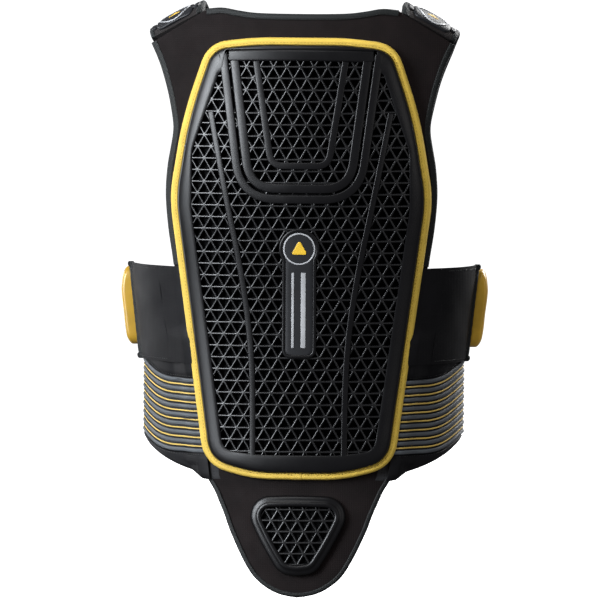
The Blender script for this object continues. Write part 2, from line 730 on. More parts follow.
TAPE_PROFILE = [(-3.0, -0.5), (-3.1, 4.0), (-3.0, 9.7), (-2.2, 10.25), (0.0, 10.2), (1.8, 9.9), (2.8, 8.8),
                (3.2, 6.5), (3.25, 3.0), (2.9, 0.4), (2.0, -0.7), (0.0, -0.8), (-2.2, -0.7)]


def sew_on_back(line, height, length, radius, gap, lift, name, thread, body, slot):
    """A seam along a line on the back, as a piece of its own."""
    threads = Build()
    points = [on_back(p.x, p.y, height) for p in line]
    normals = [back_normal(p.x, p.y) for p in line]
    stitches(threads, points, normals, length, radius, gap, lift)
    return threads.piece(name, [thread], body, slot)


def edge_tape(name, path, node, body="carrier", shrink=1.0):
    """Tape folded over a cloth's edge, with its seam; returns both."""
    build = Build()
    inner = moved_sideways(path, -2.4, closed=False)
    back_strip(build, inner, [(s * shrink, h) for s, h in TAPE_PROFILE], closed=False)
    piece = build.piece(name, [TAPE], body, "edge_tape", [node], soften=60)
    line = even(moved_sideways(inner, -1.9 * shrink, closed=False), 3.0, closed=False)
    seam = sew_on_back(line, 10.3, 2.3, 0.28, 1.3, 0.0, name + "_stitches", BLACK_THREAD, body, "edge_tape")
    return piece, seam


def mirrored_path(path):
    return [Vector((-p.x, p.y)) for p in reversed(path)]


def make_tapes():
    neck = smooth_path([*[(-x, z) for x, z in reversed(CARRIER_TOP[1:])], *CARRIER_TOP], 4.0)
    edge_tape("neck_tape", neck, "neck_binding")
    arm = smooth_path(CARRIER_ARM, 4.0)
    edge_tape("right_armhole_tape", arm, "right_armhole_binding")
    edge_tape("left_armhole_tape", mirrored_path(arm), "left_armhole_binding")


def make_binding():
    """The yellow textile that is rolled over the armour window's edge."""
    path = even(moved_sideways(panel, -BINDING_WIDTH / 2), 3.2)
    root, tall = 9.0, 9.0
    profile = [(-3.85, root), (-3.9, 13.5), (-3.7, 16.3), (-3.1, 17.5), (-2.2, 18.0), (-1.35, 17.75),
               (-0.5, 18.2), (0.8, 18.3), (2.0, 17.9), (3.0, 16.9), (3.7, 15.0), (3.95, 12.0), (3.95, root)]
    build = Build()
    loops = []
    for i, (p, t) in enumerate(zip(path, tangents(path, True))):
        side = Vector((-t.y, t.x))
        wander = 0.22 * ripple(p, 40.0, 2.0)
        puff = 0.18 * math.sin(i * 1.9) + 0.25 * ripple(p, 9.0, 7.0)
        loop = []
        for s, h in profile:
            share = (h - root) / tall
            q = p + side * (s + wander * share)
            loop.append(on_back(q.x, q.y, h + puff * share ** 2))
        loops.append(loop)
    build.loft(loops, closed=True)
    build.piece("panel_binding_textile", [YELLOW], "carrier", "yellow_textile", ["panel_binding"])
    line = even(moved_sideways(panel, -BINDING_WIDTH / 2 - 1.35), 2.5)
    sew_on_back(line + line[:1], 17.75, 2.1, 0.34, 1.5, 0.05, "panel_binding_stitches", YELLOW_THREAD,
                "carrier", "yellow_textile")
    # The lapped join at the middle of the bottom edge.
    join = Build()
    lap = [p for p in path if abs(p.x) < 6.5 and p.y < 0]
    back_strip(join, lap, [(s * 1.04, h + (0.55 if h > 12 else 0.0)) for s, h in profile], closed=False)
    join.piece("panel_binding_join", [YELLOW], "carrier", "yellow_textile", soften=50)


# ---------------------------------------------------------------- tail flap and coccyx pad
def tail_half(z):
    return table(TAIL_SIDE, z)


def tail_top(u, z):
    lap = 0.9 * ease((z + 96.0) / 14.0)
    puff = 0.5 * ripple(Vector((u * tail_half(z), z)), 24.0, 3.0)
    return CARRIER_OUT + lap - 1.5 * abs(u) ** 6 + puff * (1 - u * u)


def tail_low(u, z):
    """Above the lining's lower edge the tail is a thin lap on the carrier's outer face."""
    return 0.2 + 9.6 * ease((z + 86.5) / 2.2)


def make_tail():
    build = Build()
    levels = [-60.0, -66.0, -72.0, -77.0, -81.0, -84.0, -84.6, -85.2, -85.8, -86.5, -88.0, -90.0, -92.0,
              -95.0, *spread(-99.0, -205.8, 40), -206.8]
    rows(build, levels, lambda z: tail_half(z) - 1.0, tail_top, tail_low, 26, (0, 1))
    cloth = build.piece("tail_cloth", [CARRIER, LINING], None, "carrier_mesh",
                        ["tail_carrier", "tail_lining"], fill=0.8, soften=60)
    right = [Vector((tail_half(z), z)) for z in spread(-78.0, -206.3, 60)]
    path = even(right + mirrored_path(right), 4.0, closed=False)
    for piece in (cloth, *edge_tape("tail_tape", path, "tail_binding", None, 0.8)):
        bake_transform(piece)


COCCYX = [Vector((-29.0, -121.5)), Vector((29.0, -121.5)), Vector((6.5, -162.0)), Vector((-6.5, -162.0))]
COCCYX_R, COCCYX_WINDOW_R = 21.0, 9.5


def shield(radius, bulge=0.8):
    """A shield with round corners of that radius about fixed centres, and slightly bulging sides."""
    points = []
    for i, centre in enumerate(COCCYX):
        before, after = COCCYX[i - 1], COCCYX[(i + 1) % len(COCCYX)]
        t_in, t_out = (centre - before).normalized(), (after - centre).normalized()
        a = math.atan2(t_in.x, -t_in.y)
        b = math.atan2(t_out.x, -t_out.y)
        if b > a:
            b -= 2 * math.pi
        arc = [centre + Vector((math.cos(q), math.sin(q))) * radius for q in spread(a, b, 13)]
        points += arc
        side = Vector((-t_out.y, t_out.x))
        end = after + side * radius
        points += [arc[-1].lerp(end, k / 12) + side * (bulge * math.sin(math.pi * k / 12))
                   for k in range(1, 12)]
    return points


def make_coccyx():
    build = Build()
    profile = [(0.0, 8.8), (0.0, 12.0), (0.04, 13.8), (0.12, 15.0), (0.3, 15.6), (0.5, 15.7),
               (0.56, 16.6), (0.64, 17.3), (0.8, 17.4), (0.92, 16.8), (1.0, 15.4), (1.0, 9.0)]
    between(build, shield(COCCYX_R), shield(COCCYX_WINDOW_R), profile)
    build.piece("coccyx_rim", [ARMOUR], "tail_flap", "armour_rubber", ["coccyx_frame"], soften=60)
    # The grid and its foam run on under the rim.
    edge, foam_edge = shield(COCCYX_WINDOW_R + 3.1), shield(COCCYX_WINDOW_R + 0.6)
    build = Build()
    grid_cells(build, 13.8, 11.5, -114.5, lambda p: inside(edge, p), 15.0, 10.3, 1.8)
    build.piece("coccyx_grid", [GRID], "tail_flap", "armour_rubber", ["coccyx_armour"], weld=0.05, soften=55)
    build = Build()
    rows(build, spread(-171.0, -112.0, 14), lambda z: half_at(foam_edge, z), lambda u, z: 9.9,
         lambda u, z: 3.8, 10)
    build.piece("coccyx_foam_visual", [DEPTHS], "tail_flap", "foam", ["coccyx_foam"], fill=1.0)


# ---------------------------------------------------------------- badge
def badge_half(z):
    if z > BADGE_Z - math.sqrt(BADGE_R ** 2 - BADGE_HALF ** 2):
        return math.sqrt(max(0.2, BADGE_R ** 2 - (z - BADGE_Z) ** 2))
    drop = BADGE_FOOT + BADGE_CORNER - z
    if drop > 0:
        return BADGE_HALF - BADGE_CORNER + math.sqrt(max(0.0, BADGE_CORNER ** 2 - drop ** 2))
    return BADGE_HALF


def make_badge():
    build = Build()
    levels = [BADGE_FOOT + BADGE_CORNER * (1 - math.cos(a)) for a in spread(0.05, math.pi / 2, 7)]
    levels += spread(58.0, 147.0, 14)
    levels += [BADGE_Z - BADGE_R * math.cos(a) for a in spread(math.radians(55), math.radians(178), 24)]
    rows(build, levels, badge_half, lambda u, z: 23.3 - 0.5 * abs(u) ** 12, lambda u, z: 14.8, 18)
    build.piece("badge_face", [BADGE], "carrier", "badge_black", ["badge_plate"], soften=50)
    # Two plain bars, where the real thing carries words.
    build = Build()
    for x, wide in ((4.4, 5.0), (-6.6, 2.6)):
        path = [Vector((x, z)) for z in spread(56.0, 135.0, 24)]
        back_strip(build, path, bar_profile(wide / 2, BADGE_FACE, BADGE_FACE + 0.85, 0.3), closed=False)
    build.piece("badge_stripes", [SILVER], "carrier", "silver_print", ["badge_bars"], soften=50)
    build = Build()
    ring_r = 16.0
    circle = [Vector((ring_r * math.sin(a), BADGE_Z + ring_r * math.cos(a)))
              for a in spread(0, 2 * math.pi, 73)[:-1]]
    back_strip(build, circle, bar_profile(0.75, BADGE_FACE, BADGE_FACE + 0.9, 0.3))
    build.piece("badge_circle", [SILVER], "carrier", "silver_print", ["badge_ring"], soften=50)
    build = Build()
    triangle = outline([(0.0, BADGE_Z + 9.5, 2.4), (8.8, BADGE_Z - 6.0, 2.4), (-8.8, BADGE_Z - 6.0, 2.4)])
    pad(build, lambda p, h: on_back(p.x, p.y, h), triangle, lambda p: BADGE_FACE + 1.0, BADGE_FACE, 0.35)
    build.piece("badge_mark", [YELLOW_PRINT], "carrier", "yellow_print", ["badge_emblem"], soften=50)


def pad(build, place, edge, height, base, round_r, factors=None):
    """A low moulded form on a surface: concentric rings from its outline to its middle."""
    middle = sum(edge, Vector((0.0, 0.0))) / len(edge)
    reach = min((p - middle).length for p in edge)
    loops = [[place(p, base) for p in edge]]
    for i in range(6):
        a = math.pi / 2 * i / 5
        f = 1 - round_r * (1 - math.cos(a)) / reach
        ring = [middle + (p - middle) * f for p in edge]
        loops.append([place(q, height(q) - round_r * (1 - math.sin(a))) for q in ring])
    for share in factors or (0.66, 0.33, 0.04):
        ring = [middle + (p - middle) * (f * share) for p in edge]
        loops.append([place(q, height(q)) for q in ring])
    build.loft(loops)


# ---------------------------------------------------------------- belts
BELT_PLAN = [(104.0, 20.5), (119.0, 28.5), (143.0, 52.0), (160.0, 86.0), (166.0, 120.0), (162.5, 152.0),
             (149.0, 185.0), (122.0, 215.0), (83.0, 238.0), (40.0, 252.0)]
TENSION_LOW = [(106.3, 16.0), (122.1, 24.6), (147.5, 49.2), (165.2, 84.7), (171.5, 118.0), (171.5, 152.0)]
TENSION_HIGH = [(108.0, 8.0), (132.0, 22.0), (161.5, 49.0), (177.3, 84.0), (182.7, 118.0), (182.7, 152.0)]
TENSION_BOTTOM, TENSION_TOP, TENSION_THICK = 36.5, 138.5, 2.6
TENSION_TALL = TENSION_TOP - TENSION_BOTTOM
FREE_FROM = 60.0           # from this distance forward, a column keeps the same y at every height
BELT_FOOT = [(0.0, -85.5), (9.0, -81.0), (20.0, -76.5), (34.0, -71.0), (63.0, -60.0), (95.0, -48.0),
             (118.0, -42.0), (300.0, -42.0)]
LEVEL_FROM, BELT_LOW, BELT_HIGH = 118.0, -42.0, 66.0
TAPER_FROM, FRONT_X, FRONT_LOW, FRONT_RUN, FRONT_CORNER = 190.0, 41.0, -34.0, 89.0, 22.0
ELASTIC_END = 150.0
STRIPE_TOP, STRIPE_STEP = 13.9, 9.2
SEAM_LEAN = 0.1466         # the belt's sewn edge leans outwards by this much per millimetre of height

# Cross-sections of the elastic's ribs, from the top: (height, outwards, yarn); 0 grey, 1 yellow, 2 black.
GREY_SHAPE = [(2.3, 3.4, 2), (1.9, 4.3, 0), (1.2, 4.75, 0), (0.0, 4.9, 0), (-1.2, 4.75, 0), (-1.9, 4.3, 0),
              (-2.3, 3.4, 2)]
YELLOW_SHAPE = [(1.1, 3.5, 2), (0.75, 4.35, 1), (0.0, 4.6, 1), (-0.75, 4.35, 1), (-1.1, 3.5, 2)]


def seam_x(z):
    return 114.4 + SEAM_LEAN * z


def rise(y):
    """How far the belt's stripes climb towards the front."""
    return 16.0 * ease((y - 35.0) / 75.0)


class Standing:
    """A sheet that stands on edge: for each height it has a curve in plan, from the carrier forwards."""

    def __init__(self, plan, climbs):
        self.plan, self.climbs, self.known = plan, climbs, {}

    def row(self, z):
        key = round(z, 1)
        if key not in self.known:
            points = smooth_path(self.plan(key), 2.5)
            self.known[key] = (points, tangents(points, False))
        return self.known[key]

    def at(self, y, z, out):
        """The point that is y forward at height z, that far out; y = 0 is the sheet's sewn edge."""
        points, ahead = self.row(z)
        first = points[0].y
        want = first + (FREE_FROM - first) * y / FREE_FROM if y < FREE_FROM else y
        low, high = 0, len(points) - 1
        while high - low > 1:
            middle = (low + high) // 2
            if points[middle].y <= want:
                low = middle
            else:
                high = middle
        run = points[high].y - points[low].y
        t = min(1.0, max(0.0, (want - points[low].y) / run))
        p, d = points[low].lerp(points[high], t), ahead[low].lerp(ahead[high], t).normalized()
        lift = rise(want) if self.climbs else 0.0
        return Vector((p.x + d.y * out, p.y - d.x * out, z + lift))


def belt_plan(step):
    """The belt's curve from above at each height; step moves its front end forwards."""
    path = [(x, y + step * min(1.0, max(0.0, (y - 120.0) / 110.0))) for x, y in BELT_PLAN]
    fine = smooth_path(path, 8.0)

    def plan(z):
        seam = seam_x(z)
        root = [(x, back_y(x, z) - 9.75) for x in (seam - 10.0, seam - 6.0, seam - 2.0)]
        return root + [tuple(p) for p in fine if p.x > seam + 7.0 or p.y > 60.0]

    return plan


def tension_plan(z):
    """The tension strap's curve from above; it flares outwards with height."""
    share = (z - TENSION_BOTTOM) / TENSION_TALL
    path = [tuple(Vector(a).lerp(Vector(b), share)) for a, b in zip(TENSION_LOW, TENSION_HIGH)]
    seam = seam_x(z)
    out = 10.4 + 4.6 * (1 - ease((z - 62.0) / 14.0))
    root = [(x, back_y(x, z) - out) for x in (seam - 9.0, seam - 5.5, seam - 2.0)]
    return root + [p for p in path if p[0] > seam + 8.0]


def sheet_block(build, sheet, columns, low, high, under, over, up):
    """A closed sheet: low(y), high(y) are its edges, under(y, v), over(y, v) its faces, v from 0 to 1."""
    loops = []
    for y in columns:
        a, b = low(y), high(y)
        levels = [(v, a + (b - a) * v) for v in spread(0.0, 1.0, up)]
        loop = [sheet.at(y, z, over(y, v)) for v, z in levels]
        loop += [sheet.at(y, z, under(y, v)) for v, z in reversed(levels)]
        loops.append(loop)
    build.loft(loops)


def side_piece(build, side, name, material, body, slot, nodes=(), fill=None, soften=60):
    """A piece of one side: all are built on the right, and the left ones are mirrored."""
    if side == "left":
        build.verts = [Vector((-v.x, v.y, v.z)) for v in build.verts]
    materials = material if isinstance(material, list) else [material]
    return build.piece(side + name, materials, body, slot, [side + "_" + node for node in nodes], fill,
                       soften=soften)


def hinge_blend(piece):
    """Fabric over the line where a wing swings. The distances before and after it are taken square to it,
    turned forwards for a wing that wraps back in front of the wearer."""
    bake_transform(piece)


def belt_limits(sheet):
    """The belt's lower and upper edges, before the climb of its stripes is added."""
    def reach(y):
        return sheet.at(y, 0.0, 0.0).x

    def rounding(x):
        gap = max(0.0, FRONT_X + FRONT_CORNER - x)
        return FRONT_CORNER - math.sqrt(max(0.0, FRONT_CORNER ** 2 - min(FRONT_CORNER, gap) ** 2))

    def low(y):
        z = table(BELT_FOOT, y) if y < LEVEL_FROM else BELT_LOW
        if y > TAPER_FROM:
            x = reach(y)
            z = max(z, FRONT_LOW - (x - FRONT_X) * 8.0 / FRONT_RUN) + rounding(x)
        return z - rise(y)

    def high(y):
        z = BELT_HIGH + rise(y)
        if y > TAPER_FROM:
            x = reach(y)
            z = min(z, BELT_HIGH + (x - FRONT_X) * 26.0 / FRONT_RUN) - rounding(x)
        return z - rise(y)

    return low, high


def rib_profile():
    """The elastic's outer face from the top: wide grey ribs with thin yellow ones between them."""
    profile = []
    for k in range(9):
        grey, yellow = STRIPE_TOP + STRIPE_STEP / 2 - STRIPE_STEP * k, STRIPE_TOP - STRIPE_STEP * k
        profile += [(grey + dz, out, yarn) for dz, out, yarn in GREY_SHAPE]
        if k < 8:
            profile += [(yellow + dz, out, yarn) for dz, out, yarn in YELLOW_SHAPE]
    return profile


def crown(v, sharp=8):
    """1 over most of a sheet's width, falling to 0 at its edges."""
    return 1 - abs(2 * v - 1) ** sharp


def make_belt(side):
    step = 12.0 if side == "left" else 0.0
    sheet = Standing(belt_plan(step), True)
    low, high = belt_limits(sheet)
    front = 252.0 + step - 0.5
    wing = side + "_belt_wing"
    near = [0.0, 3.0, 6.0, 9.0, 12.0, 16.0, 20.0, 25.0, 30.0]
    turn = 226.0 + step * 0.8
    columns = near + spread(36.0, turn, 48) + spread(229.0 + step * 0.8, front, 16)

    def blended(build, name, material, slot, nodes=(), fill=None, soften=60):
        piece = side_piece(build, side, name, material, None, slot, nodes, fill, soften)
        hinge_blend(piece)
        return piece

    def wrinkle(y, z, size=30.0, seed=0.0):
        return noise.noise(Vector((y / size, z / size, seed + (9.0 if side == "left" else 0.0))))

    build = Build()
    sheet_block(build, sheet, columns, low, high, lambda y, v: 0.25 * (1 - crown(v)),
                lambda y, v: 2.3 - 0.8 * (1 - crown(v)), 17)
    cloth = blended(build, "_belt_cloth", BELT_DARK, "belt_black", ["belt_base", "belt_root"])

    # The elastic: raised ribs, one mesh with three yarns.
    profile = rib_profile()
    yarns = [yarn for _, _, yarn in profile]
    marks = [a if a == b else 2 for a, b in zip(yarns, yarns[1:])] + [2] * (len(profile) + 1)
    loops = []
    band = near + spread(34.0, ELASTIC_END - 0.5, 44)
    for y in band:
        sway = 0.35 * wrinkle(y, 0.0, 22.0, 3.0) * ease(y / 20.0)
        pull = 0.25 * math.sin(y / 3.1) * ease((y - 60.0) / 30.0)
        loop = [sheet.at(y, z + sway, h + 0.12 * wrinkle(y, z, 9.0) + pull * 0.4) for z, h, _ in profile]
        loop += [sheet.at(y, z + sway, 1.9) for z, _, _ in reversed(profile)]
        loops.append(loop)
    build = Build()
    build.loft(loops, slots=marks)
    elastic = blended(build, "_belt_elastic_ribs", [GREY_RIB, YELLOW_RIB, BLACK_RIB], "grey_elastic",
                      ["belt_elastic"], soften=70)

    edge_top = STRIPE_TOP + STRIPE_STEP / 2 + 2.7
    edge_low = STRIPE_TOP - STRIPE_STEP * 7.5 - 2.7
    build = Build()
    sheet_block(build, sheet, band, lambda y: edge_top, high, lambda y, v: 1.9,
                lambda y, v: 2.5 + 2.0 * crown(v, 10) + 0.45 * wrinkle(y, v * 46, 18.0, 5.0) * crown(v, 4),
                15)
    blended(build, "_belt_upper_pad", BELT, "belt_black", ["belt_upper_band"], fill=0.6)
    lower_band = [y for y in band if low(y) < edge_low - 2.0]
    build = Build()
    sheet_block(build, sheet, lower_band, lambda y: low(y) + 0.2, lambda y: edge_low, lambda y, v: 1.9,
                lambda y, v: 2.5 + 1.9 * crown(v, 6) + 0.3 * wrinkle(y, v * 12, 14.0, 6.0) * crown(v, 4), 9)
    blended(build, "_belt_lower_edge", BELT, "belt_black", fill=0.6)
    build = Build()
    front_columns = spread(ELASTIC_END + 0.4, turn, 24) + spread(229.0 + step * 0.8, front - 0.6, 16)
    sheet_block(build, sheet, front_columns, lambda y: low(y) + 0.6, lambda y: high(y) - 0.6,
                lambda y, v: 1.9,
                lambda y, v: 2.4 + 2.1 * crown(v, 14) * (0.4 + 0.6 * ease((front - y) / 3.0)), 19)
    side_piece(build, side, "_belt_front_cloth", BELT, wing, "belt_black", ["belt_front_panel"], 0.7)

    # Stitch lines: along the elastic's edges, and round the front panel.
    threads = Build()
    far = spread(2.0, ELASTIC_END - 2.0, 90)
    forward = spread(ELASTIC_END + 3.0, front - 4.0, 60)
    lines = [[(y, edge_top + 1.6, 4.15) for y in far],
             [(y, edge_low - 1.6, 4.15) for y in far if y < 95.0],
             [(y, high(y) - 4.5, 4.5) for y in forward],
             [(y, low(y) + 4.5, 4.5) for y in forward],
             [(ELASTIC_END + 3.0, z, 4.5) for z in spread(-50.0, 60.0, 40)]]
    for line in lines:
        points = [sheet.at(*p) for p in line]
        normals = [(sheet.at(y, z, h + 1) - sheet.at(y, z, h)).normalized() for y, z, h in line]
        stitches(threads, points, normals, 2.5, 0.27, 1.4, 0.0)
    blended(threads, "_belt_stitches", BLACK_THREAD, "belt_black")


# ---------------------------------------------------------------- tension straps and pull tabs
HEM_START, HEM_END, TONGUE_END = 104.0, 112.0, 150.0
TAB_BOTTOM, TAB_TOP, TAB_START, TAB_END = 50.0, 132.5, 112.6, 160.0
CURVE_END = 151.9          # the strap's curve in plan ends here, and the tab runs straight on


def make_tension(side):
    sheet = Standing(tension_plan, False)
    belt, wing = side + "_belt_wing", side + "_tension_wing"

    def crease(y, v):
        z = TENSION_BOTTOM + TENSION_TALL * v
        push = noise.noise(Vector((y / 45.0 + z / 60.0, z / 38.0, 4.0 if side == "left" else 1.0)))
        return 0.9 * push * crown(v, 4) * ease((HEM_START - y) / 20.0)

    def thick(y, v):
        return TENSION_THICK - 0.7 * (1 - crown(v, 10))

    def bottom(y):
        return TENSION_BOTTOM

    def top(y):
        return TENSION_TOP

    def on_strap(y, z, lift=0.0):
        """A point that far off the strap's outer face."""
        return sheet.at(y, z, TENSION_THICK + lift + crease(y, (z - TENSION_BOTTOM) / TENSION_TALL))

    build = Build()
    sheet_block(build, sheet, [0.0, 4.0, 8.0, 12.0, 16.0, 20.0, 24.0, 28.0, 32.0], bottom, top,
                lambda y, v: 0.15, lambda y, v: thick(y, v) - 0.35 * ease((y - 26.0) / 6.0), 25)
    root = side_piece(build, side, "_tension_strap_root", BELT, None, "belt_black", ["tension_root"])
    hinge_blend(root)

    build = Build()
    sheet_block(build, sheet, spread(28.0, HEM_END, 34), bottom, top, crease,
                lambda y, v: thick(y, v) + crease(y, v), 29)
    sheet_block(build, sheet, spread(HEM_END - 1.0, TONGUE_END, 12), lambda y: TAB_BOTTOM + 6,
                lambda y: TAB_TOP - 6, lambda y, v: 0.1, lambda y, v: TENSION_THICK - 0.4, 17)
    strap = side_piece(build, side, "_tension_cloth", BELT, None, "belt_black", ["tension_strap"])
    hinge_blend(strap)

    # The folded hem at the strap's end, with a bar tack at each of its ends.
    def fold(y, v):
        swell = math.sin(math.pi * min(1.0, max(0.0, (y - HEM_START) / 9.4))) ** 0.5
        return TENSION_THICK + 2.1 * swell + 0.15 * math.sin(v * 70)

    build = Build()
    sheet_block(build, sheet, spread(HEM_START, HEM_END + 0.8, 9), lambda y: TENSION_BOTTOM - 0.5,
                lambda y: TENSION_TOP + 0.5, lambda y, v: -0.4, fold, 33)
    for z in (TENSION_BOTTOM + 2.5, TENSION_TOP - 2.5):
        sheet_block(build, sheet, spread(HEM_START + 1.5, HEM_END - 1.0, 7), lambda y: z - 2.6,
                    lambda y: z + 2.6, lambda y, v: TENSION_THICK,
                    lambda y, v: TENSION_THICK + 2.6 + 0.9 * crown(v, 2), 7)
    side_piece(build, side, "_tension_hem_fold", TAPE, wing, "belt_black", ["tension_hem"], soften=70)
    threads = Build()
    for y in (HEM_START - 1.6, HEM_START - 4.6):
        points = [on_strap(y, z, 0.1) for z in spread(TENSION_BOTTOM + 3.0, TENSION_TOP - 3.0, 70)]
        stitches(threads, points, [Vector((0.97, -0.2, 0.0))] * len(points), 2.4, 0.28, 1.3, 0.0)
    for z in (TENSION_BOTTOM + 3.4, TENSION_TOP - 3.4):
        ys = spread(34.0, HEM_START - 3.0, 40)
        normals = [(sheet.at(y, z, 1.0) - sheet.at(y, z, 0.0)).normalized() for y in ys]
        stitches(threads, [on_strap(y, z) for y in ys], normals, 2.4, 0.28, 1.3, 0.0)
    seam = side_piece(threads, side, "_tension_stitches", BLACK_THREAD, None, "belt_black", soften=None)
    hinge_blend(seam)

    # The moulded tab: it bulges most in its lower two thirds and has a ribbed finger dish.
    half_y, half_z = (TAB_END - TAB_START) / 2, (TAB_TOP - TAB_BOTTOM) / 2
    mid_y, mid_z = (TAB_START + TAB_END) / 2, (TAB_TOP + TAB_BOTTOM) / 2
    edge = outline([(mid_y - half_y, mid_z + half_z, 13), (mid_y + half_y, mid_z + half_z, 15),
                    (mid_y + half_y, mid_z - half_z, 15), (mid_y - half_y, mid_z - half_z, 13)], True, 9, 15)
    swell = [(50.0, 9.6), (60.0, 12.2), (86.0, 12.8), (108.0, 12.8), (121.0, 10.4), (133.0, 6.8)]
    dish_z = 92.0

    def tab_height(p):
        h = TENSION_THICK + table(swell, p.y)
        dish = max(0.0, 1 - ((p.x - mid_y) / 15.0) ** 2 - ((p.y - dish_z) / 19.0) ** 2)
        ridge = 0.7 * math.cos((p.y - dish_z) * 2 * math.pi / 5.6) * ease(dish * 3)
        rim = -1.2 * max(0.0, abs(p.x - mid_y) / half_y - 0.55) ** 2
        return h - 3.6 * ease(dish * 1.4) + ridge + rim

    def place(p, h):
        return sheet.at(min(p.x, CURVE_END), p.y, h) + Vector((0, max(0.0, p.x - CURVE_END), 0))

    build = Build()
    pad(build, place, edge, tab_height, TENSION_THICK - 0.2, 3.4,
        [0.97, 0.93, 0.88] + spread(0.82, 0.04, 22))
    side_piece(build, side, "_pull_tab_moulded", TAB, wing, "yellow_rubber", ["pull_tab"])


# ---------------------------------------------------------------- shoulders
YOKE = [(128.0, 28.0, 386.5), (131.0, 39.0, 393.5), (132.5, 57.0, 397.2), (133.0, 78.0, 398.0),
        (132.5, 99.0, 394.5)]
STRAP_LINE = [(132.0, 102.0, 393.5), (126.5, 128.0, 378.0), (111.0, 166.0, 334.0), (98.0, 204.0, 268.0),
              (90.0, 226.0, 190.0), (86.0, 236.0, 128.0)]
STRAP_HALF, STRAP_TAPER, STRAP_THICK, SHOULDER_TILT = 33.0, 7.0, 4.6, 28.7


def across(t):
    """The strap's width direction: round the back at first, then along the shoulder line, then level."""
    tilt = math.radians(SHOULDER_TILT * (1 - 0.8 * min(1.0, max(0.0, (t - 1.0) / 0.8))))
    wrap = 0.42 * max(0.0, 1 - t / 0.45)
    return Vector((math.cos(tilt), wrap, -math.sin(tilt))).normalized()


class Strap:
    """The shoulder strap's centre line, from the back over the shoulder and down the front."""

    def __init__(self):
        self.points = smooth_path(YOKE + STRAP_LINE[1:], 3.0)
        self.ahead = tangents(self.points, False)
        self.bend = min(range(len(self.points)), key=lambda i: abs(self.points[i].y - 100.5))

    def share(self, i):
        """0 at the back, 1 at the fold over the shoulder, 2 at the front end."""
        return i / self.bend if i < self.bend else 1 + (i - self.bend) / (len(self.points) - 1 - self.bend)

    def at(self, i, side_mm, out):
        """Station i (it may lie between two points), that far to the side and out."""
        k = max(0, min(len(self.points) - 2, int(i)))
        f = i - k
        centre, ahead = self.points[k].lerp(self.points[k + 1], f), self.ahead[k].lerp(self.ahead[k + 1], f)
        width = across(self.share(i))
        normal = width.cross(ahead).normalized()
        return centre + width * side_mm + normal * out

    def half(self, i):
        return STRAP_HALF - STRAP_TAPER * max(0.0, self.share(i) - 1.0)

    def thick(self, i):
        return STRAP_THICK + 5.2 * (1 - ease(i / 9.0))


